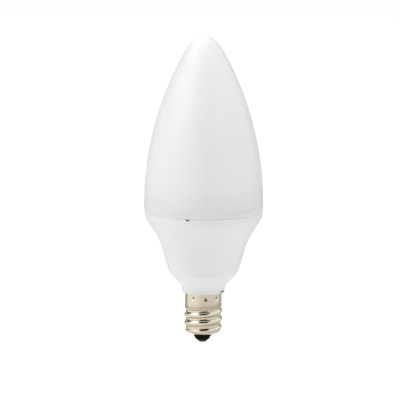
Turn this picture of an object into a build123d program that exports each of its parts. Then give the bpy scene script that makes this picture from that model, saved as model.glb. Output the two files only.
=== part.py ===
from build123d import *
from math import ceil, cos, hypot, radians, sin, tan
import os

# A candle lamp with a 12 mm screw cap. Lengths are in millimetres and angles in degrees.
# The axis is Z. The origin is the lowest point of the centre contact, and the globe's tip is up.
# Angles about the axis start at +X and run anticlockwise seen from above. The front is -Y, at 270.

# Heights, as a chain from the contact up to the tip of the globe
contact_head_height = 0.75
insulator_cone_height = 1.65
shell_height = 13.45
neck_rise = 1.65
knuckle_rise = 4.45
waist_rise = 10.3
shoulder_rise = 7.1
rim_band = 2.2
globe_height = 54.45

# Globe
globe_diameter = 37.0
globe_belt = 1.7
cheek_radius = 12.2
cheek_angle = 52.0
nose_radius = 4.6
globe_bevel_height = 1.0
globe_bevel_depth = 0.18

# Joint of the globe and the housing
seam_gap = 0.03
rim_step = 0.1
rim_wall = 2.6
spigot_depth = 3.0
spigot_clearance = 0.1
pry_slot_angle = 254.2
pry_slot_width = 1.05
pry_slot_height = 0.4

# Housing
rim_bevel = 0.1
rim_draft = 0.16
rim_round = 3.2
waist_diameter = 27.66
waist_round = 20.6
knuckle_diameter = 21.5
knuckle_round = 2.0
throat_round = 3.8
neck_overhang = 0.9
lead_slot_angle = 334.5
lead_slot_sill = 0.2
lead_slot_width = 2.4
lead_slot_height = 0.45
lead_slot_depth = 2.0

# Screw shell
shell_wall = 0.3
skirt_diameter = 11.5
skirt_height = 4.65
skirt_ramp = 0.5
skirt_round = 0.6
thread_diameter = 11.84
thread_depth = 0.57
thread_pitch = 2.54
thread_crest_round = 0.95
thread_flank_angle = 40.0
thread_foot = 2.4
thread_top_drop = 5.95
thread_bottom_rise = 4.2
top_sink_turn = 0.3
bottom_sink_turn = 1.4
sink_margin = 0.1
route_points_per_turn = 12
shell_bottom_angle = 20.0
shell_bottom_round = 0.8
shell_opening_diameter = 5.9
neck_plug_clearance = 0.05
neck_plug_gap = 0.3

# Staking dimples that hold the shell on the neck
dimple_count = 9
dimple_angle = 277.0
dimple_drop = 1.45
dimple_diameter = 1.3
dimple_flank_angle = 50.0
dimple_sides = 8
dimple_depth = 0.28
staking_clearance = 0.15

# Insulator and centre contact
insulator_tip_diameter = 4.2
insulator_flange_clearance = 0.05
insulator_flange_thickness = 1.2
contact_diameter = 3.6
contact_flat_diameter = 2.3
contact_round = 0.25
stem_diameter = 1.4
stem_clearance = 0.05

# The largest share of a straight side that the rounds at its two ends may take
round_share = 0.98

# Heights above the contact's lowest point
shell_bottom = contact_head_height + insulator_cone_height
shell_top = shell_bottom + shell_height
throat_height = shell_top + neck_rise
knuckle_height = throat_height + knuckle_rise
waist_height = knuckle_height + waist_rise
shoulder_height = waist_height + shoulder_rise
seam_height = shoulder_height + rim_band
lamp_length = seam_height + globe_height
skirt_end = shell_top - skirt_height
crest_top = shell_top - thread_top_drop
crest_bottom = shell_bottom + thread_bottom_rise

# Radii
globe_radius = globe_diameter / 2
rim_radius = globe_radius - rim_step
recess_radius = rim_radius - rim_wall
skirt_radius = skirt_diameter / 2
skirt_bore_radius = skirt_radius - shell_wall
neck_radius = skirt_radius + neck_overhang
crest_radius = thread_diameter / 2
root_radius = crest_radius - thread_depth
thread_bore_radius = root_radius - shell_wall
opening_radius = shell_opening_diameter / 2
stem_hole_radius = stem_diameter / 2 + stem_clearance

# The shell's sloping bottom, with its corners and the inner face on which the insulator's flange lies
bottom_slope = tan(radians(shell_bottom_angle))
outer_corner = shell_bottom + (root_radius - opening_radius) * bottom_slope
inner_bottom = shell_bottom + shell_wall / cos(radians(shell_bottom_angle))
inner_corner = inner_bottom + (thread_bore_radius - opening_radius) * bottom_slope
inner_bevel = (shell_bottom_round - shell_wall) * tan(radians(90 - shell_bottom_angle) / 2)
bevel_start_radius = thread_bore_radius - inner_bevel * cos(radians(shell_bottom_angle))
bevel_start_height = inner_corner - inner_bevel * sin(radians(shell_bottom_angle))
insulator_flange_radius = bevel_start_radius - insulator_flange_clearance
flange_rim_height = inner_bottom + (insulator_flange_radius - opening_radius) * bottom_slope
insulator_top = flange_rim_height + insulator_flange_thickness


def limited_rounds(points, wanted):
    """The wanted corner radii of an open outline, each cut back where two rounds share too short a side."""
    turns = []
    for before, corner, after in zip(points, points[1:], points[2:]):
        entering = Vector(*corner) - Vector(*before)
        leaving = Vector(*after) - Vector(*corner)
        turns.append(radians(entering.get_angle(leaving)))
    setbacks = [0.0, *(radius * tan(turn / 2) for radius, turn in zip(wanted, turns)), 0.0]
    shares = []
    for start, end, first, second in zip(points, points[1:], setbacks, setbacks[1:]):
        side = hypot(end[0] - start[0], end[1] - start[1])
        taken = first + second
        shares.append(min(1.0, round_share * side / taken) if taken else 1.0)
    return [radius * min(share) for radius, share in zip(wanted, zip(shares, shares[1:]))]


def turned(*lines):
    """The solid turned about Z from the outline's lines, drawn as radius and height."""
    outline = make_face([edge for line in lines for edge in line.edges()])
    return revolve(Plane.XZ * outline, Axis.Z)


def rounded_line(corners):
    """An open outline of (radius, height, round) corners. The two ends have no round."""
    points = [corner[:2] for corner in corners]
    rounds = [corner[2] for corner in corners[1:-1]]
    return FilletPolyline(*points, radius=limited_rounds(points, rounds))


def radial_box(angle, radius, base, depth, width, height):
    """A box that stands on the height base, centred on a radius at an angle about the axis."""
    block = Box(depth, width, height, align=(Align.CENTER, Align.CENTER, Align.MIN))
    return Rot(0, 0, angle) * Pos(radius, 0, base) * block


def make_globe():
    """Opal globe: a nose, a cheek and an ogive that meet in tangent arcs, a straight belt and the spigot."""
    lower_edge = seam_height + seam_gap / 2
    belt_top = seam_height + globe_belt
    outward = Vector(cos(radians(cheek_angle)), sin(radians(cheek_angle)))
    nose_middle = Vector(0, lamp_length - nose_radius)
    nose_start = nose_middle + outward * nose_radius
    cheek_middle = nose_start - outward * cheek_radius
    width = globe_radius - cheek_middle.X
    rise = cheek_middle.Y - belt_top
    ogive_radius = (width**2 + rise**2 - cheek_radius**2) / (2 * (width - cheek_radius))
    ogive_middle = Vector(globe_radius - ogive_radius, belt_top)
    cheek_start = cheek_middle + (cheek_middle - ogive_middle).normalized() * cheek_radius
    ogive = TangentArc((globe_radius, belt_top), cheek_start, tangent=(0, 1))
    cheek = TangentArc(cheek_start, nose_start, tangent=ogive % 1)
    nose = TangentArc(nose_start, (0, lamp_length), tangent=cheek % 1)
    spigot_radius = recess_radius - spigot_clearance
    spigot_end = seam_height - seam_gap / 2 - spigot_depth
    base = rounded_line(
        [
            (0, spigot_end, 0),
            (spigot_radius, spigot_end, 0),
            (spigot_radius, lower_edge, 0),
            (globe_radius - globe_bevel_depth, lower_edge, 0),
            (globe_radius, lower_edge + globe_bevel_height, 0),
            (globe_radius, belt_top, 0),
        ]
    )
    return turned(base, ogive, cheek, nose, Line((0, lamp_length), (0, spigot_end)))


def make_housing():
    """White housing: recess for the globe, rim, two tapers, knuckle, neck and plug, with two small slots."""
    rim_top = seam_height - seam_gap / 2
    recess_floor = rim_top - spigot_depth
    plug_radius = skirt_bore_radius - neck_plug_clearance
    plug_end = skirt_end + skirt_ramp + neck_plug_gap
    groove_radius = skirt_bore_radius - dimple_depth - staking_clearance
    groove_reach = dimple_diameter / 2 + shell_wall + staking_clearance
    groove_middle = shell_top - dimple_drop
    outside = rounded_line(
        [
            (0, recess_floor, 0),
            (recess_radius, recess_floor, 0),
            (recess_radius, rim_top, 0),
            (rim_radius - rim_bevel, rim_top, 0),
            (rim_radius, rim_top - rim_bevel, 0),
            (rim_radius - rim_draft, shoulder_height, rim_round),
            (waist_diameter / 2, waist_height, waist_round),
            (knuckle_diameter / 2, knuckle_height, knuckle_round),
            (neck_radius, throat_height, throat_round),
            (neck_radius, shell_top, 0),
            (plug_radius, shell_top, 0),
        ]
    )
    plug = Polyline(
        (plug_radius, shell_top),
        (plug_radius, groove_middle + groove_reach),
        (groove_radius, groove_middle + groove_reach),
        (groove_radius, groove_middle - groove_reach),
        (plug_radius, groove_middle - groove_reach),
        (plug_radius, plug_end),
        (0, plug_end),
        (0, recess_floor),
    )
    body = turned(outside, plug)
    through_rim = 2 * (rim_wall + spigot_clearance)
    body -= radial_box(
        pry_slot_angle, rim_radius, rim_top - pry_slot_height, through_rim, pry_slot_width, rim_wall
    )
    sill_height = shell_top + lead_slot_sill
    body -= radial_box(
        lead_slot_angle, neck_radius, sill_height, 2 * lead_slot_depth, lead_slot_width, lead_slot_height
    )
    return body


def thread_ridge():
    """The rolled thread's ridge: round crest and straight flanks, on a helix that sinks at both ends."""
    flank = radians(thread_flank_angle)
    bend = (
        crest_radius - thread_crest_round * (1 - cos(flank)),
        thread_crest_round * sin(flank),
    )
    foot_radius = bend[0] - (thread_foot / 2 - bend[1]) * tan(flank)
    base_radius = foot_radius - 2 * thread_depth

    def mirrored(point):
        return (point[0], -point[1])

    foot = (foot_radius, thread_foot / 2)
    base = (base_radius, thread_foot / 2)
    section = make_face(
        [
            ThreePointArc(mirrored(bend), (crest_radius, 0), bend),
            Polyline(bend, foot, base, mirrored(base), mirrored(foot), mirrored(bend)),
        ]
    )

    full_turns = (crest_top - crest_bottom) / thread_pitch
    first_turn = -full_turns - bottom_sink_turn
    turn_count = top_sink_turn - first_turn
    step_count = ceil(route_points_per_turn * turn_count)
    route = []
    for step in range(step_count + 1):
        turn = first_turn + turn_count * step / step_count
        sunk = max(0.0, turn / top_sink_turn, (-full_turns - turn) / bottom_sink_turn)
        radius = crest_radius - (thread_depth + sink_margin) * sunk**2
        angle = radians(360 * turn)
        route.append((radius * cos(angle), radius * sin(angle), crest_top + thread_pitch * turn))
    sunk_section = Pos(-thread_depth - sink_margin, 0, 0) * (Plane.XZ * section)
    placed = Rot(0, 0, 360 * first_turn) * Pos(0, 0, route[0][2]) * sunk_section
    axis_line = Line((0, 0, route[0][2]), (0, 0, route[-1][2])).edge()
    ridge = sweep(placed, path=Spline(*route), binormal=axis_line)

    limit_radius = crest_radius + sink_margin
    trim_radius = root_radius - thread_depth
    limit = Polyline(
        (0, outer_corner),
        (trim_radius, outer_corner),
        (limit_radius, outer_corner + limit_radius - trim_radius),
        (limit_radius, shell_top),
        (0, shell_top),
        (0, outer_corner),
    )
    return ridge & turned(limit)


def make_screw_shell():
    """Screw shell: thin wall with a plain skirt, a rolled round thread and a rounded open bottom."""
    bore_step = skirt_end + skirt_ramp
    outside = rounded_line(
        [
            (0, shell_top, 0),
            (skirt_radius, shell_top, 0),
            (skirt_radius, skirt_end, skirt_round),
            (root_radius, skirt_end - skirt_ramp, 0),
            (root_radius, outer_corner, shell_bottom_round),
            (opening_radius, shell_bottom, 0),
            (0, shell_bottom, 0),
        ]
    )
    inside = Polyline(
        (0, shell_bottom),
        (opening_radius, shell_bottom),
        (opening_radius, inner_bottom),
        (bevel_start_radius, bevel_start_height),
        (thread_bore_radius, inner_corner + inner_bevel),
        (thread_bore_radius, bore_step),
        (skirt_bore_radius, bore_step),
        (skirt_bore_radius, shell_top),
        (0, shell_top),
    )
    axis_side = Line((0, shell_bottom), (0, shell_top))
    shell = turned(outside, axis_side) + thread_ridge() - turned(inside, axis_side)

    dimple_height = shell_top - dimple_drop
    punch_width = dimple_diameter / 2 + dimple_depth * tan(radians(dimple_flank_angle))
    punch_face = RegularPolygon(punch_width, dimple_sides, major_radius=False)
    punch = Rot(0, -90, 0) * extrude(punch_face, 2 * dimple_depth, taper=dimple_flank_angle)
    inner_half = Pos(0, 0, dimple_height) * Cylinder(skirt_radius - shell_wall / 2, 2 * dimple_drop)
    for index in range(dimple_count):
        turn = Rot(0, 0, dimple_angle + 360 * index / dimple_count)
        dent = turn * Pos(skirt_radius + dimple_depth, 0, dimple_height)
        shell += inner_half & (dent * Pos(-shell_wall, 0, 0) * punch)
        shell -= dent * punch
    return shell


def make_base_insulator():
    """Black insulator: outer cone, collar in the shell's opening and flange on its sloping bottom."""
    return turned(
        Polyline(
            (stem_hole_radius, contact_head_height),
            (insulator_tip_diameter / 2, contact_head_height),
            (opening_radius, shell_bottom),
            (opening_radius, inner_bottom),
            (insulator_flange_radius, flange_rim_height),
            (insulator_flange_radius, insulator_top),
            (stem_hole_radius, insulator_top),
            (stem_hole_radius, contact_head_height),
        )
    )


def make_centre_contact():
    """Centre contact: blunt head under the insulator and a stem pressed through it."""
    head = rounded_line(
        [
            (0, 0, 0),
            (contact_flat_diameter / 2, 0, contact_round),
            (contact_diameter / 2, contact_head_height, 0),
        ]
    )
    stem = Polyline(
        (contact_diameter / 2, contact_head_height),
        (stem_diameter / 2, contact_head_height),
        (stem_diameter / 2, insulator_top),
        (0, insulator_top),
        (0, 0),
    )
    return turned(head, stem)


os.makedirs("parts", exist_ok=True)
export_step(make_globe(), "parts/globe.step")
export_step(make_housing(), "parts/housing.step")
export_step(make_screw_shell(), "parts/screw_shell.step")
export_step(make_base_insulator(), "parts/base_insulator.step")
export_step(make_centre_contact(), "parts/centre_contact.step")
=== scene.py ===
from math import acos, atan2, ceil, cos, hypot, pi, radians, sin, sqrt, tan

import bmesh
import bpy
from mathutils import Matrix, Vector


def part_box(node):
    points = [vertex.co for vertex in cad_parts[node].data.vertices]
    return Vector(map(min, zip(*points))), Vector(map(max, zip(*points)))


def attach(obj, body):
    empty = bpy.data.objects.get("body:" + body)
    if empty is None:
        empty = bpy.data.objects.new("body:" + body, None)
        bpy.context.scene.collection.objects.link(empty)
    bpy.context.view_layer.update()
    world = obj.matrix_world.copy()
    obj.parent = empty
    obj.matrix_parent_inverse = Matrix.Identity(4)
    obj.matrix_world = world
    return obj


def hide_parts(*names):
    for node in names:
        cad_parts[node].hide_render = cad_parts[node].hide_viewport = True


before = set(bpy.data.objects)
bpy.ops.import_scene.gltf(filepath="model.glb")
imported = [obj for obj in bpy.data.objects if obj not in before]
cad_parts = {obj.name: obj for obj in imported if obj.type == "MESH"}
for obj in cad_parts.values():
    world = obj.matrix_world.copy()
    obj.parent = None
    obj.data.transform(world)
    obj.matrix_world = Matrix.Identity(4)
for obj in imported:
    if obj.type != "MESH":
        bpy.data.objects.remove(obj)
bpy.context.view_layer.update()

# An unlit candle lamp: opal globe, white tapered housing, nickel-plated screw shell, black insulator and
# centre contact. Sizes are in millimetres, and meshes are scaled to metres as they are made.
MM = 0.001

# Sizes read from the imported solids
globe_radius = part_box("globe")[1].x / MM
tip_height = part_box("globe")[1].z / MM
spigot_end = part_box("globe")[0].z / MM
rim_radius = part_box("housing")[1].x / MM
rim_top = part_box("housing")[1].z / MM
plug_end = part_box("housing")[0].z / MM
shell_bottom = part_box("screw_shell")[0].z / MM
shell_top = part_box("screw_shell")[1].z / MM
crest_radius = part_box("screw_shell")[1].x / MM
insulator_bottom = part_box("base_insulator")[0].z / MM
insulator_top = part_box("base_insulator")[1].z / MM
insulator_flange_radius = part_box("base_insulator")[1].x / MM
contact_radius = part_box("centre_contact")[1].x / MM

# Globe
seam_gap = 0.03
globe_belt = 1.7
globe_bevel_height = 1.0
globe_bevel_depth = 0.18
spigot_clearance = 0.1
witness_depth = 0.04
cheek_radius = 12.2
cheek_angle = 52.0
nose_radius = 4.6
# Height over which the painted shade above the globe's lower bevel fades out
opal_shade_rise = 11.0

# Housing
rim_wall = 2.6
rim_bevel = 0.1
rim_draft = 0.16
rim_band = 2.2
rim_round = 3.2
shoulder_rise = 7.1
waist_radius = 13.83
waist_round = 20.6
waist_rise = 10.3
knuckle_radius = 10.75
knuckle_round = 2.0
throat_round = 3.8
neck_rise = 1.65
neck_radius = 6.65
plug_radius = 5.4
pry_slot_angle = 254.2
pry_slot_width = 1.05
pry_slot_height = 0.4
lead_slot_angle = 334.5
lead_slot_sill = 0.2
lead_slot_width = 2.4
lead_slot_height = 0.45
lead_slot_depth = 2.0
slot_lip = 0.12

# Screw shell
shell_wall = 0.3
skirt_radius = 5.75
skirt_height = 4.65
skirt_lean = 0.35
skirt_ramp = 0.7
skirt_shade = 1.3
thread_depth = 0.57
thread_pitch = 2.54
thread_top_drop = 5.95
thread_bottom_rise = 4.2
top_sink_turn = 0.3
bottom_sink_turn = 1.4
sink_blend = 0.06
sink_limit = 1.5
shell_bottom_angle = 20.0
shell_bottom_round = 0.8
opening_radius = 2.95
dimple_count = 9
dimple_angle = 277.0
dimple_drop = 1.45
dimple_radius = 0.78
dimple_depth = 0.22
pit_start = 0.15

# Insulator and contact
insulator_tip_radius = 2.1
insulator_round = 0.25
insulator_collar = 1.2
insulator_offset = 0.2
seat_margin = 0.02
stem_radius = 0.7
contact_flat_radius = 1.15
contact_round = 0.25

# Sizes of the materials' patterns. The moulded grain is really about 0.05 mm, and the painted shade line
# along each flank of the thread stands for one a few hundredths wide: both are drawn coarse enough to show.
opal_cloud = 14.0
opal_grain = 0.6
white_cloud = 9.0
white_grain = 0.4
grain_depth = 0.02
rolling_ripple = 1.2
ripple_depth = 0.05
# Painted shade in the grooves of the thread, and the painted line along each flank
groove_share = 0.55
flank_line_rise = 0.13
flank_line_width = 0.1
glass_flow = 1.5
rubbed_patch = 0.7

# Mesh spacing
around = 192
shell_around = 360
straight_step = 0.8
shell_step = 0.07
round_step = radians(6)
slot_edge = 0.02
crease_angle = 28.0
rolled_crease_angle = 60.0
merge_distance = 0.0005

# The photograph's view
photo_pixels = 400
pixel_size = 0.3094
view_elevation = 10.5
view_roll = 0.25
view_distance = 4000.0
aim_side = -1.14
aim_height = 44.53
sensor_width = 36.0
nearest_seen = 50.0
furthest_seen = 50000.0

# Studio
floor_height = -35.0
floor_size = 8000.0
floor_lift = 0.6
floor_bounce = 0.18
world_diffuse = 0.23
card_lift = 1.0
back_gap = 5.0
card_reach = 1600.0
card_fade = 240.0
card_back = 100.0
under_front = 90.0
under_reach = 130.0
under_right = 12.0
wide = (-card_reach, card_reach)
under = (-under_reach, under_reach)
right_under = (under_right, under_reach)
softbox_back = "#1A1A1A"


def arc_points(centre, radius, start, end, step):
    """Points of an arc from one angle to another, both ends included, no further apart than the step."""
    count = max(2, ceil(abs(end - start) / min(round_step, step / radius)))
    return [
        (centre[0] + radius * cos(start + (end - start) * i / count),
         centre[1] + radius * sin(start + (end - start) * i / count))
        for i in range(count + 1)
    ]


def rounded_outline(corners, step):
    """Points along an open outline of (radius, height, round) corners, no further apart than the step."""
    shape = [corners[0][:2]]
    for before, corner, after in zip(corners, corners[1:], corners[2:]):
        here = Vector(corner[:2])
        back = (Vector(before[:2]) - here).normalized()
        ahead = (Vector(after[:2]) - here).normalized()
        if not corner[2]:
            shape.append(tuple(here))
            continue
        half = acos(max(-1.0, min(1.0, back.dot(ahead)))) / 2
        start = here + back * corner[2] / tan(half)
        end = here + ahead * corner[2] / tan(half)
        centre = here + (back + ahead).normalized() * corner[2] / sin(half)
        first = atan2(start.y - centre.y, start.x - centre.x)
        turn = atan2(end.y - centre.y, end.x - centre.x) - first
        turn = (turn + pi) % (2 * pi) - pi
        shape += arc_points(centre, corner[2], first, first + turn, step)
    shape.append(corners[-1][:2])
    points = [shape[0]]
    for start, end in zip(shape, shape[1:]):
        count = max(1, ceil(hypot(end[0] - start[0], end[1] - start[1]) / step))
        for i in range(1, count + 1):
            share = i / count
            points.append(tuple(a + (b - a) * share for a, b in zip(start, end)))
    return points


def turned_piece(name, outline, angles, form=None, crease=crease_angle):
    """A closed mesh turned about the axis. A form may move a point, given its angle, radius and height."""
    vertices = []
    rings = []
    for radius, height in outline:
        if radius < merge_distance:
            rings.append([len(vertices)])
            vertices.append((0.0, 0.0, height * MM))
            continue
        rings.append(range(len(vertices), len(vertices) + len(angles)))
        for angle in angles:
            r, z = form(angle, radius, height) if form else (radius, height)
            vertices.append((r * cos(angle) * MM, r * sin(angle) * MM, z * MM))
    faces = []
    count = len(angles)
    pairs = list(zip(rings, rings[1:]))
    if len(rings[0]) > 1:
        pairs.append((rings[-1], rings[0]))
    for low, high in pairs:
        for i in range(count):
            j = (i + 1) % count
            if len(low) == 1:
                faces.append((low[0], high[j], high[i]))
            elif len(high) == 1:
                faces.append((low[i], low[j], high[0]))
            else:
                faces.append((low[i], low[j], high[j], high[i]))
    mesh = bpy.data.meshes.new(name)
    mesh.from_pydata(vertices, [], faces)
    shape = bmesh.new()
    shape.from_mesh(mesh)
    bmesh.ops.remove_doubles(shape, verts=shape.verts, dist=merge_distance * MM)
    shape.to_mesh(mesh)
    shape.free()
    mesh.shade_smooth()
    mesh.set_sharp_from_angle(angle=radians(crease))
    piece = bpy.data.objects.new(name, mesh)
    bpy.context.scene.collection.objects.link(piece)
    return piece


def even_angles(count):
    return [2 * pi * i / count for i in range(count)]


def slotted_angles(slots):
    """Even angles, with a pair of close angles at both sides of each slot (angle, width, radius)."""
    angles = even_angles(around)
    for angle, width, radius in slots:
        half = width / 2 / radius
        edge = slot_edge / radius
        middle = radians(angle)
        angles = [a for a in angles if abs(a - middle) > half + 2 * edge]
        angles += [middle + side * reach for side in (-1, 1) for reach in (half, half + edge)]
        angles += [middle + half * share for share in (-0.5, 0, 0.5)]
    return sorted(a % (2 * pi) for a in angles)


def in_slot(angle, slot_angle, width, radius):
    """Whether an angle lies within a slot of that width at that radius."""
    away = (angle - radians(slot_angle) + pi) % (2 * pi) - pi
    return abs(away) < width / 2 / radius + slot_edge / radius / 2


def make_globe():
    """Opal globe: spigot, lower bevel, straight belt, then ogive, cheek and nose in tangent arcs."""
    lower_edge = rim_top + seam_gap
    bevel_top = lower_edge + globe_bevel_height
    belt_top = rim_top + seam_gap / 2 + globe_belt
    spigot_radius = rim_radius - rim_wall - spigot_clearance
    cheek_turn = radians(cheek_angle)
    nose_middle = Vector((0, tip_height - nose_radius))
    outward = Vector((cos(cheek_turn), sin(cheek_turn)))
    cheek_middle = nose_middle - outward * (cheek_radius - nose_radius)
    width = globe_radius - cheek_middle.x
    rise = cheek_middle.y - belt_top
    ogive_radius = (width**2 + rise**2 - cheek_radius**2) / (2 * (width - cheek_radius))
    ogive_middle = Vector((globe_radius - ogive_radius, belt_top))
    ogive_turn = atan2(rise, cheek_middle.x - ogive_middle.x)
    base = rounded_outline(
        [
            (0, spigot_end, 0),
            (spigot_radius, spigot_end, 0),
            (spigot_radius, lower_edge, 0),
            (globe_radius - globe_bevel_depth, lower_edge, 0),
            (globe_radius - witness_depth, bevel_top - witness_depth, 0),
            (globe_radius - 2 * witness_depth, bevel_top, 0),
            (globe_radius, bevel_top + witness_depth, 0),
            (globe_radius, belt_top, 0),
        ],
        straight_step,
    )
    ogive = arc_points(ogive_middle, ogive_radius, 0, ogive_turn, straight_step)[1:]
    cheek = arc_points(cheek_middle, cheek_radius, ogive_turn, cheek_turn, straight_step)[1:]
    nose = arc_points(nose_middle, nose_radius, cheek_turn, pi / 2, straight_step / 2)[1:-1]
    outline = base + ogive + cheek + nose + [(0, tip_height)]
    return turned_piece("globe_opal", outline, even_angles(around))


def radius_at(outline, height):
    """The radius at a height on the last stretch of an outline that runs down to its end."""
    lowest_first = outline[::-1]
    for (low_radius, low), (high_radius, high) in zip(lowest_first, lowest_first[1:]):
        if low <= height <= high:
            return low_radius + (high_radius - low_radius) * (height - low) / (high - low)


def make_housing():
    """White housing with a small slot in the rim at the seam, and one above the shell for its lead."""
    recess_radius = rim_radius - rim_wall
    seam_height = rim_top + seam_gap / 2
    shoulder_height = seam_height - rim_band
    waist_height = shoulder_height - shoulder_rise
    knuckle_height = waist_height - waist_rise
    throat_height = shell_top + neck_rise
    slot_floor = rim_top - pry_slot_height
    slot_sill = shell_top + lead_slot_sill
    slot_roof = slot_sill + lead_slot_height
    slot_back = neck_radius - lead_slot_depth
    wall = rounded_outline(
        [
            (0, spigot_end, 0),
            (recess_radius, spigot_end, 0),
            (recess_radius, rim_top, 0),
            (rim_radius - rim_bevel, rim_top, 0),
            (rim_radius, rim_top - rim_bevel, 0),
            (rim_radius - rim_draft, shoulder_height, rim_round),
            (waist_radius, waist_height, waist_round),
            (knuckle_radius, knuckle_height, knuckle_round),
            (neck_radius, throat_height, throat_round),
            (neck_radius, shell_top, 0),
        ],
        straight_step,
    )
    mouth = {height: radius_at(wall, height) for height in (slot_roof, slot_sill)}
    outline = [point for point in wall if point[1] > slot_roof]
    outline += [(mouth[slot_roof], slot_roof), (slot_back, slot_roof)]
    outline += [(slot_back, slot_sill), (mouth[slot_sill], slot_sill)]
    outline += [(neck_radius, shell_top), (plug_radius, shell_top)]
    outline += [(plug_radius, plug_end), (0, plug_end)]

    def slots(angle, radius, height):
        in_rim = height > slot_floor and radius > recess_radius - slot_edge
        if in_rim and in_slot(angle, pry_slot_angle, pry_slot_width, rim_radius):
            return radius, slot_floor
        if radius == slot_back and not in_slot(angle, lead_slot_angle, lead_slot_width, neck_radius):
            return mouth[height], height
        return radius, height

    angles = slotted_angles(
        [(pry_slot_angle, pry_slot_width, rim_radius), (lead_slot_angle, lead_slot_width, neck_radius)]
    )
    return turned_piece("housing_white", outline[::-1], angles, slots)


def smooth_larger(a, b, blend):
    """The larger of two lengths, with a soft change between them."""
    return (a + b + sqrt((a - b) ** 2 + blend**2)) / 2


def thread_height(angle, height):
    """How far the rolled thread stands above its root: round crests that run into round grooves."""
    crest_top = shell_top - thread_top_drop
    full_turns = (crest_top - shell_bottom - thread_bottom_rise) / thread_pitch
    turns_up = (height - crest_top) / thread_pitch
    share = angle / (2 * pi)
    turn = round(turns_up - share) + share
    away = abs(turns_up - turn) * thread_pitch
    quarter = thread_pitch / 4
    bend = (quarter**2 + (thread_depth / 2) ** 2) / thread_depth
    if away < quarter:
        rise = thread_depth - bend + sqrt(bend**2 - away**2)
    else:
        rise = bend - sqrt(bend**2 - (2 * quarter - away) ** 2)
    sunk = max(0.0, turn / top_sink_turn, (-full_turns - turn) / bottom_sink_turn)
    if not sunk:
        return rise
    return smooth_larger(rise - thread_depth * min(sunk, sink_limit) ** 2, 0.0, sink_blend)


def make_screw_shell():
    """Screw shell: plain skirt with staking dimples, rolled thread, rounded shoulder and a plain bore."""
    root_radius = crest_radius - thread_depth
    slope = tan(radians(shell_bottom_angle))
    skirt_end = shell_top - skirt_height
    corner = shell_bottom + (root_radius - opening_radius) * slope
    bore_radius = root_radius - shell_wall
    skirt_bore = skirt_radius - shell_wall
    bore_step = skirt_end + skirt_ramp
    outer = rounded_outline(
        [
            (opening_radius, shell_bottom, 0),
            (root_radius, corner, shell_bottom_round),
            (root_radius, skirt_end - skirt_ramp, 0),
            (skirt_radius, bore_step, 0),
            (skirt_radius, shell_top, 0),
        ],
        shell_step,
    )
    inner = [
        (skirt_bore, shell_top),
        (skirt_bore, bore_step),
        (bore_radius, bore_step),
        (bore_radius, corner + shell_wall),
        (opening_radius, shell_bottom + shell_wall),
    ]
    dimple_height = shell_top - dimple_drop
    spacing = 2 * pi / dimple_count

    def rolled(angle, radius, height):
        if (radius, height) in inner:
            return radius, height
        if height >= bore_step:
            from_dimple = (angle - radians(dimple_angle) + spacing / 2) % spacing - spacing / 2
            away = hypot(from_dimple * radius, height - dimple_height) / dimple_radius
            return radius - dimple_depth * max(0.0, 1 - away**2), height
        ramp_middle = skirt_end - skirt_ramp / 2 + skirt_lean * cos(angle)
        share = min(1.0, max(0.0, (height - ramp_middle) / skirt_ramp + 0.5))
        skirt = root_radius + (skirt_radius - root_radius) * share * share * (3 - 2 * share)
        ridge = root_radius + thread_height(angle, height)
        full = smooth_larger(skirt, ridge, sink_blend)
        kept = min(1.0, max(0.0, (min(radius, root_radius) - bore_radius) / shell_wall))
        return full * kept + radius * (1 - kept), height

    angles = even_angles(shell_around)
    return turned_piece("screw_shell_nickel", outer + inner, angles, rolled, rolled_crease_angle)


def lean_base(piece):
    """Moves what shows below the shell a little to one side: the insulator sits off the middle."""
    for vertex in piece.data.vertices:
        if vertex.co.z < (shell_bottom - seat_margin) * MM:
            vertex.co.x -= insulator_offset * MM


def make_insulator():
    """Black insulator: the cone below the shell and the flange inside it."""
    outline = rounded_outline(
        [
            (stem_radius, insulator_bottom, 0),
            (insulator_tip_radius, insulator_bottom, insulator_round),
            (opening_radius, shell_bottom, 0),
            (opening_radius, shell_bottom + shell_wall, 0),
            (insulator_flange_radius, insulator_top - insulator_collar, 0),
            (insulator_flange_radius, insulator_top, 0),
            (stem_radius, insulator_top, 0),
        ],
        straight_step,
    )
    piece = turned_piece("base_insulator_black", outline, even_angles(around))
    lean_base(piece)
    return piece


def make_contact():
    """Centre contact: a blunt pressed head with a flat end, and its stem."""
    outline = rounded_outline(
        [
            (0, 0, 0),
            (contact_flat_radius, 0, contact_round),
            (contact_radius, insulator_bottom, 0),
            (stem_radius, insulator_bottom, 0),
            (stem_radius, insulator_top, 0),
            (0, insulator_top, 0),
        ],
        straight_step,
    )
    piece = turned_piece("centre_contact_head", outline, even_angles(around))
    lean_base(piece)
    return piece


def linear(hex_colour):
    """An sRGB hex colour as linear red, green, blue and alpha."""
    parts = [int(hex_colour[i:i + 2], 16) / 255 for i in (1, 3, 5)]
    return (*(p / 12.92 if p <= 0.04045 else ((p + 0.055) / 1.055) ** 2.4 for p in parts), 1.0)


def add_node(tree, kind, inputs=None, **settings):
    """Adds a node, sets its settings, and sets or links its inputs by name or number."""
    node = tree.nodes.new(kind)
    for name, value in settings.items():
        setattr(node, name, value)
    for name, value in (inputs or {}).items():
        if isinstance(value, bpy.types.NodeSocket):
            tree.links.new(value, node.inputs[name])
        else:
            node.inputs[name].default_value = value
    return node


def start_material(name):
    """A new material, and its empty node tree."""
    material = bpy.data.materials.new(name)
    material.use_nodes = True
    material.node_tree.nodes.clear()
    return material, material.node_tree


def per_mm(size):
    """The texture scale at which a pattern's features are about that many millimetres wide."""
    return 1 / (size * MM)


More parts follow.
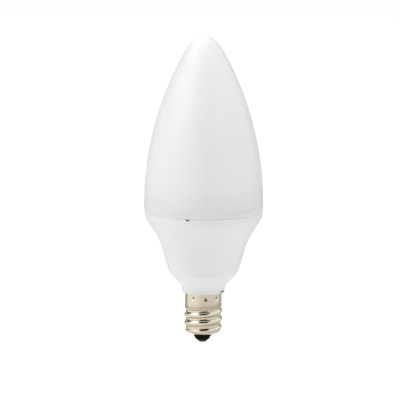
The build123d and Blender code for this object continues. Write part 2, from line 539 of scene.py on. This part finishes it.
def opal_polycarbonate():
    """Opal polycarbonate, moulded: milky satin white, with painted shade above the edge where the inside
    darkens it.
    """
    material, tree = start_material("opal_polycarbonate")
    place = add_node(tree, "ShaderNodeTexCoord").outputs["Object"]
    height = add_node(tree, "ShaderNodeSeparateXYZ", {"Vector": place}).outputs["Z"]
    # Painted shade: greyer just above the lower bevel, fading out upwards
    edge_top = rim_top + seam_gap + globe_bevel_height
    above = add_node(
        tree, "ShaderNodeMapRange",
        {"Value": height, "From Min": edge_top * MM, "From Max": (edge_top + opal_shade_rise) * MM},
        interpolation_type="SMOOTHSTEP",
    )
    in_edge = add_node(tree, "ShaderNodeMath", {0: height, 1: edge_top * MM}, operation="LESS_THAN")
    clear = add_node(
        tree, "ShaderNodeMath", {0: above.outputs["Result"], 1: in_edge.outputs[0]}, operation="MAXIMUM"
    )
    cloud = add_node(
        tree, "ShaderNodeTexNoise", {"Vector": place, "Scale": per_mm(opal_cloud), "Detail": 2.0}
    )
    milky = add_node(
        tree, "ShaderNodeMix",
        {"Factor": cloud.outputs["Fac"], "A": linear("#EDEDED"), "B": linear("#F1F1F1")},
        data_type="RGBA",
    )
    tone = add_node(
        tree, "ShaderNodeMix",
        {"Factor": clear.outputs[0], "A": linear("#E7E7E7"), "B": milky.outputs["Result"]},
        data_type="RGBA",
    )
    grain = add_node(
        tree, "ShaderNodeTexNoise", {"Vector": place, "Scale": per_mm(opal_grain), "Detail": 3.0}
    )
    bump = add_node(
        tree, "ShaderNodeBump",
        {"Height": grain.outputs["Fac"], "Strength": 0.04, "Distance": grain_depth * MM},
    )
    shader = add_node(
        tree, "ShaderNodeBsdfPrincipled",
        {
            "Base Color": tone.outputs["Result"],
            "Roughness": 0.34,
            "IOR": 1.58,
            "Subsurface Weight": 0.25,
            "Subsurface Radius": (1.0, 1.0, 1.0),
            "Subsurface Scale": 3.0 * MM,
            "Normal": bump.outputs["Normal"],
        },
    )
    add_node(tree, "ShaderNodeOutputMaterial", {"Surface": shader.outputs[0]})
    return material


def height_and_radius(tree, place):
    """The height and the distance from the lamp's axis, as sockets."""
    parts = add_node(tree, "ShaderNodeSeparateXYZ", {"Vector": place})
    flat = add_node(tree, "ShaderNodeCombineXYZ", {"X": parts.outputs["X"], "Y": parts.outputs["Y"]})
    from_axis = add_node(tree, "ShaderNodeVectorMath", {0: flat.outputs[0]}, operation="LENGTH")
    return parts.outputs["Z"], from_axis.outputs["Value"]


def white_moulded_polyester():
    """White filled polyester, moulded: opaque, satin, as white as the globe, with painted shade deep in its
    slots.
    """
    material, tree = start_material("white_moulded_polyester")
    place = add_node(tree, "ShaderNodeTexCoord").outputs["Object"]
    cloud = add_node(
        tree, "ShaderNodeTexNoise", {"Vector": place, "Scale": per_mm(white_cloud), "Detail": 2.0}
    )
    white = add_node(
        tree, "ShaderNodeMix",
        {"Factor": cloud.outputs["Fac"], "A": linear("#ECECEC"), "B": linear("#F0F0F0")},
        data_type="RGBA",
    )
    height, from_axis = height_and_radius(tree, place)
    # Painted shade: nearly black deep in the pry slot and the lead slot, where the hollow lies unlit
    slots = (
        (rim_radius - slot_lip, rim_top - pry_slot_height - slot_edge),
        (neck_radius - slot_lip, shell_top + lead_slot_sill - slot_edge),
    )
    unlit = []
    for lip_radius, sill in slots:
        deep = add_node(tree, "ShaderNodeMath", {0: from_axis, 1: lip_radius * MM}, operation="LESS_THAN")
        above = add_node(tree, "ShaderNodeMath", {0: height, 1: sill * MM}, operation="GREATER_THAN")
        unlit.append(add_node(
            tree, "ShaderNodeMath", {0: deep.outputs[0], 1: above.outputs[0]}, operation="MULTIPLY"
        ))
    inside = add_node(
        tree, "ShaderNodeMath", {0: unlit[0].outputs[0], 1: unlit[1].outputs[0]}, operation="MAXIMUM"
    )
    tone = add_node(
        tree, "ShaderNodeMix",
        {"Factor": inside.outputs[0], "A": white.outputs["Result"], "B": linear("#14110E")},
        data_type="RGBA",
    )
    grain = add_node(
        tree, "ShaderNodeTexNoise", {"Vector": place, "Scale": per_mm(white_grain), "Detail": 3.0}
    )
    bump = add_node(
        tree, "ShaderNodeBump",
        {"Height": grain.outputs["Fac"], "Strength": 0.06, "Distance": grain_depth * MM},
    )
    shader = add_node(
        tree, "ShaderNodeBsdfPrincipled",
        {
            "Base Color": tone.outputs["Result"],
            "Roughness": 0.38,
            "IOR": 1.55,
            "Normal": bump.outputs["Normal"],
        },
    )
    add_node(tree, "ShaderNodeOutputMaterial", {"Surface": shader.outputs[0]})
    return material


def skirt_end_shade(tree, place, height):
    """How much painted shade lies on the skirt, from 0 to 1, as a socket growing down to its leaning lower
    edge.
    """
    side = add_node(tree, "ShaderNodeSeparateXYZ", {"Vector": place}).outputs["X"]
    levelled = add_node(
        tree, "ShaderNodeMath",
        {0: side, 1: -skirt_lean / skirt_radius, 2: height},
        operation="MULTIPLY_ADD",
    ).outputs[0]
    skirt_end = shell_top - skirt_height
    near_end = add_node(
        tree, "ShaderNodeMapRange",
        {
            "Value": levelled,
            "From Min": skirt_end * MM,
            "From Max": (skirt_end + skirt_shade) * MM,
            "To Min": 1.0,
            "To Max": 0.0,
        },
    ).outputs["Result"]
    above_end = add_node(
        tree, "ShaderNodeMath", {0: levelled, 1: skirt_end * MM}, operation="GREATER_THAN"
    ).outputs[0]
    return add_node(tree, "ShaderNodeMath", {0: near_end, 1: above_end}, operation="MULTIPLY").outputs[0]


def dimple_shade(tree, height, from_axis):
    """How much painted shade lies in a staking dimple, from 0 to 1, as a socket growing towards its bottom.
    """
    deep = add_node(
        tree, "ShaderNodeMapRange",
        {
            "Value": from_axis,
            "From Min": (skirt_radius - dimple_depth) * MM,
            "From Max": (skirt_radius - pit_start) * MM,
            "To Min": 1.0,
            "To Max": 0.0,
        },
    ).outputs["Result"]
    lowest = shell_top - 2 * dimple_drop
    on_skirt = add_node(
        tree, "ShaderNodeMath", {0: height, 1: lowest * MM}, operation="GREATER_THAN"
    ).outputs[0]
    return add_node(tree, "ShaderNodeMath", {0: deep, 1: on_skirt}, operation="MULTIPLY").outputs[0]


def nickel_plated_brass():
    """Bright nickel plate on rolled brass: a warm, slightly rippled mirror, with painted shade in its
    hollows.
    """
    material, tree = start_material("nickel_plated_brass")
    place = add_node(tree, "ShaderNodeTexCoord").outputs["Object"]
    height, from_axis = height_and_radius(tree, place)
    root_radius = crest_radius - thread_depth
    # Painted shade: more of it the deeper the metal lies in a groove
    groove = add_node(
        tree, "ShaderNodeMapRange",
        {
            "Value": from_axis,
            "From Min": root_radius * MM,
            "From Max": (crest_radius - groove_share * thread_depth) * MM,
            "To Min": 1.0,
            "To Max": 0.0,
        },
    )
    # Painted shade: a thin darker band at one height on each flank of the thread
    flank_line = add_node(
        tree, "ShaderNodeMath",
        {0: from_axis, 1: (root_radius + flank_line_rise) * MM, 2: flank_line_width / 2 * MM},
        operation="COMPARE",
    )
    # Painted shade: yellower in grooves, darker along each flank, greyer at the skirt's end, dark in a
    # dimple
    painted_shades = (
        (groove.outputs["Result"], "#E9DDC8"),
        (flank_line.outputs[0], "#A3957C"),
        (skirt_end_shade(tree, place, height), "#C2BAAB"),
        (dimple_shade(tree, height, from_axis), "#3E3222"),
    )
    tone = linear("#EBE4D5")
    for share, colour in painted_shades:
        mixed = add_node(
            tree, "ShaderNodeMix", {"Factor": share, "A": tone, "B": linear(colour)}, data_type="RGBA"
        )
        tone = mixed.outputs["Result"]
    ripple = add_node(
        tree, "ShaderNodeTexNoise", {"Vector": place, "Scale": per_mm(rolling_ripple), "Detail": 2.0}
    )
    bump = add_node(
        tree, "ShaderNodeBump",
        {"Height": ripple.outputs["Fac"], "Strength": 0.15, "Distance": ripple_depth * MM},
    )
    shader = add_node(
        tree, "ShaderNodeBsdfPrincipled",
        {"Base Color": tone, "Metallic": 1.0, "Roughness": 0.16, "Normal": bump.outputs["Normal"]},
    )
    add_node(tree, "ShaderNodeOutputMaterial", {"Surface": shader.outputs[0]})
    return material


def black_insulator_glass():
    """Black fused insulator glass: nearly black brown with a smooth gloss and faint flow marks."""
    material, tree = start_material("black_insulator_glass")
    place = add_node(tree, "ShaderNodeTexCoord").outputs["Object"]
    flow = add_node(
        tree, "ShaderNodeTexNoise", {"Vector": place, "Scale": per_mm(glass_flow), "Detail": 2.0}
    )
    tone = add_node(
        tree, "ShaderNodeMix",
        {"Factor": flow.outputs["Fac"], "A": linear("#0C0703"), "B": linear("#160E07")},
        data_type="RGBA",
    )
    bump = add_node(
        tree, "ShaderNodeBump",
        {"Height": flow.outputs["Fac"], "Strength": 0.2, "Distance": ripple_depth * MM},
    )
    shader = add_node(
        tree, "ShaderNodeBsdfPrincipled",
        {
            "Base Color": tone.outputs["Result"],
            "Roughness": 0.3,
            "IOR": 1.5,
            "Specular IOR Level": 0.05,
            "Normal": bump.outputs["Normal"],
        },
    )
    add_node(tree, "ShaderNodeOutputMaterial", {"Surface": shader.outputs[0]})
    return material


def dull_contact_nickel():
    """Dull nickel on the pressed contact: grey, a little rough, with small rubbed patches."""
    material, tree = start_material("dull_contact_nickel")
    place = add_node(tree, "ShaderNodeTexCoord").outputs["Object"]
    rubbed = add_node(
        tree, "ShaderNodeTexNoise", {"Vector": place, "Scale": per_mm(rubbed_patch), "Detail": 3.0}
    )
    tone = add_node(
        tree, "ShaderNodeMix",
        {"Factor": rubbed.outputs["Fac"], "A": linear("#443F39"), "B": linear("#5F5952")},
        data_type="RGBA",
    )
    shader = add_node(
        tree, "ShaderNodeBsdfPrincipled",
        {"Base Color": tone.outputs["Result"], "Metallic": 1.0, "Roughness": 0.4},
    )
    add_node(tree, "ShaderNodeOutputMaterial", {"Surface": shader.outputs[0]})
    return material


def dress(piece, node, material):
    """Gives a piece its material and lets it stand for its solid."""
    piece.data.materials.append(material)
    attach(piece, "root")
    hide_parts(node)


dress(make_globe(), "globe", opal_polycarbonate())
dress(make_housing(), "housing", white_moulded_polyester())
dress(make_screw_shell(), "screw_shell", nickel_plated_brass())
dress(make_insulator(), "base_insulator", black_insulator_glass())
dress(make_contact(), "centre_contact", dull_contact_nickel())


def flat_piece(name, corners):
    """A flat piece of the studio with the given corners in millimetres."""
    mesh = bpy.data.meshes.new(name)
    mesh.from_pydata([Vector(corner) * MM for corner in corners], [], [range(len(corners))])
    piece = bpy.data.objects.new(name, mesh)
    bpy.context.scene.collection.objects.link(piece)
    return piece


def seen_by_eye(tree, rays):
    """A socket that is 1 where the camera sees a thing, straight, in gloss or through glass."""
    either = add_node(
        tree, "ShaderNodeMath", {0: rays["Is Camera Ray"], 1: rays["Is Glossy Ray"]}, operation="MAXIMUM"
    )
    seen = add_node(
        tree, "ShaderNodeMath",
        {0: either.outputs[0], 1: rays["Is Transmission Ray"]},
        operation="MAXIMUM",
    )
    return seen.outputs[0]


def make_floor():
    """A pale matt floor that looks white, throws soft light up and still takes a soft shadow."""
    half = floor_size / 2
    corners = [(-half, -half), (half, -half), (half, half), (-half, half)]
    floor = flat_piece("studio_floor", [(x, y, floor_height) for x, y in corners])
    material, tree = start_material("pale_studio_floor")
    rays = add_node(tree, "ShaderNodeLightPath").outputs
    bounce = add_node(
        tree, "ShaderNodeMath", {0: rays["Is Diffuse Ray"], 1: floor_bounce}, operation="MULTIPLY"
    )
    lift = add_node(
        tree, "ShaderNodeMath",
        {0: seen_by_eye(tree, rays), 1: floor_lift, 2: bounce.outputs[0]},
        operation="MULTIPLY_ADD",
    )
    matt = add_node(tree, "ShaderNodeBsdfDiffuse", {"Color": linear("#F2F2F2")})
    glow = add_node(tree, "ShaderNodeEmission", {"Strength": lift.outputs[0]})
    both = add_node(tree, "ShaderNodeAddShader", {0: matt.outputs[0], 1: glow.outputs[0]})
    add_node(tree, "ShaderNodeOutputMaterial", {"Surface": both.outputs[0]})
    floor.data.materials.append(material)


def make_world():
    """White surroundings to look at, and a softer even light on the object."""
    world = bpy.data.worlds.new("studio_surroundings")
    bpy.context.scene.world = world
    world.use_nodes = True
    tree = world.node_tree
    tree.nodes.clear()
    rays = add_node(tree, "ShaderNodeLightPath").outputs
    strength = add_node(
        tree, "ShaderNodeMapRange",
        {"Value": seen_by_eye(tree, rays), "To Min": world_diffuse, "To Max": 1.0},
    )
    light = add_node(
        tree, "ShaderNodeBackground",
        {"Color": linear("#FFFFFF"), "Strength": strength.outputs["Result"]},
    )
    add_node(tree, "ShaderNodeOutputWorld", {"Surface": light.outputs[0]})


def make_card(name, corners, colour, in_gloss, left_colour=None):
    """A card that the camera can't see: it shows in gloss only, or takes away soft light only."""
    card = flat_piece(name, corners)
    card.visible_camera = False
    card.visible_shadow = not in_gloss
    card.visible_glossy = in_gloss
    card.visible_diffuse = not in_gloss
    material, tree = start_material(name + "_paper")
    tone = linear(colour)
    if left_colour:
        place = add_node(tree, "ShaderNodeTexCoord").outputs["Object"]
        across = add_node(tree, "ShaderNodeSeparateXYZ", {"Vector": place}).outputs["X"]
        fade = add_node(
            tree, "ShaderNodeMapRange",
            {"Value": across, "From Min": -card_fade * MM, "From Max": 0.0},
            interpolation_type="SMOOTHSTEP",
        )
        mixed = add_node(
            tree, "ShaderNodeMix",
            {"Factor": fade.outputs["Result"], "A": linear(left_colour), "B": tone},
            data_type="RGBA",
        )
        tone = mixed.outputs["Result"]
    glow = add_node(tree, "ShaderNodeEmission", {"Color": tone})
    add_node(tree, "ShaderNodeOutputMaterial", {"Surface": glow.outputs[0]})
    card.data.materials.append(material)


def make_floor_card(name, sides, front, back, lift, colour, left_colour=None):
    """A card that lies on the floor and shows in gloss, in another tone to the left if one is given."""
    level = floor_height + lift
    left, right = sides
    corners = [(left, front), (right, front), (right, back), (left, back)]
    make_card(name, [(x, y, level) for x, y in corners], colour, True, left_colour)


def on_circle(azimuth, elevation, distance):
    """A place round the object's middle. Azimuth 0 is the camera's side, and positive is to its right."""
    a = radians(azimuth)
    e = radians(elevation)
    return Vector((sin(a) * cos(e), -cos(a) * cos(e), sin(e))) * distance + Vector((0, 0, aim_height))


def facing_middle(place):
    """The turn that points an object's -Z from a place to the object's middle."""
    return (Vector((0, 0, aim_height)) - place).to_track_quat("-Z", "Y")


def make_flag(name, azimuth, elevation, distance, width, height, colour, in_gloss=True):
    """A standing card that faces the object."""
    place = on_circle(azimuth, elevation, distance)
    turn = facing_middle(place)
    sides = [(-1, -1), (1, -1), (1, 1), (-1, 1)]
    corners = [place + turn @ Vector((x * width / 2, y * height / 2, 0)) for x, y in sides]
    make_card(name, corners, colour, in_gloss)


def make_softbox(name, azimuth, elevation, distance, width, height, watts, in_gloss=True):
    """A rectangular soft lamp aimed at the object. One that shows in gloss has a dark card behind it."""
    lamp = bpy.data.lights.new(name, "AREA")
    lamp.shape = "RECTANGLE"
    lamp.size = width * MM
    lamp.size_y = height * MM
    lamp.energy = watts
    place = on_circle(azimuth, elevation, distance)
    holder = bpy.data.objects.new(name, lamp)
    holder.location = place * MM
    holder.rotation_euler = facing_middle(place).to_euler()
    holder.visible_glossy = in_gloss
    if in_gloss:
        make_flag(name + "_back", azimuth, elevation, distance + back_gap, width, height, softbox_back)
    bpy.context.scene.collection.objects.link(holder)


def make_camera():
    """The photograph's view: a long lens, a little above the lamp."""
    lens = bpy.data.cameras.new("photo_view")
    lens.sensor_width = sensor_width
    lens.lens = sensor_width * view_distance / (photo_pixels * pixel_size)
    lens.clip_start = nearest_seen * MM
    lens.clip_end = furthest_seen * MM
    camera = bpy.data.objects.new("photo_view", lens)
    e = radians(view_elevation)
    back = Vector((0, -cos(e), sin(e)))
    aim = Vector((aim_side * MM, 0, aim_height * MM))
    turn = (-back).to_track_quat("-Z", "Y").to_matrix() @ Matrix.Rotation(radians(view_roll), 3, "Z")
    camera.matrix_world = Matrix.Translation(aim + back * view_distance * MM) @ turn.to_4x4()
    bpy.context.scene.collection.objects.link(camera)
    bpy.context.scene.camera = camera


make_floor()
make_world()
# Two softboxes also show in gloss, and three lamps don't. The low front flag holds back soft light, and the
# other cards give the metal its bands.
make_softbox("left_softbox", azimuth=-66, elevation=45, distance=700, width=580, height=960, watts=2.6)
make_softbox("right_softbox", azimuth=60, elevation=45, distance=700, width=720, height=860, watts=1.7)
make_softbox(
    "left_fill", azimuth=-80, elevation=35, distance=700, width=600, height=800,
    watts=0.65, in_gloss=False,
)
make_softbox(
    "right_fill", azimuth=68, elevation=45, distance=650, width=850, height=1000,
    watts=0.8, in_gloss=False,
)
make_softbox(
    "top_softbox", azimuth=0, elevation=82, distance=800, width=800, height=800,
    watts=2.6, in_gloss=False,
)
make_flag(
    "low_front_flag", azimuth=0, elevation=14, distance=1200, width=2200, height=1120,
    colour="#0A0A0A", in_gloss=False,
)
make_flag("front_flag", azimuth=2, elevation=50, distance=500, width=560, height=1260, colour="#3E2A10")
make_flag(
    "back_flag", azimuth=180, elevation=12, distance=1200, width=2800, height=800, colour="#B0B0B0"
)
make_flag(
    "left_back_flag", azimuth=-122, elevation=24, distance=1200, width=520, height=640, colour="#201B14"
)
make_floor_card("front_floor_card", wide, -card_reach, card_back, card_lift, "#DAD6D0", "#F7F2EA")
make_floor_card("back_floor_card", wide, card_back, card_reach, card_lift, "#B8B8B8")
make_floor_card("under_card", under, -under_front, card_back, 2 * card_lift, "#E9E5E0")
make_floor_card("right_under_card", right_under, -under_front, card_back, 3 * card_lift, "#DAD6D0")
make_camera()
bpy.context.scene.view_settings.view_transform = "Standard"
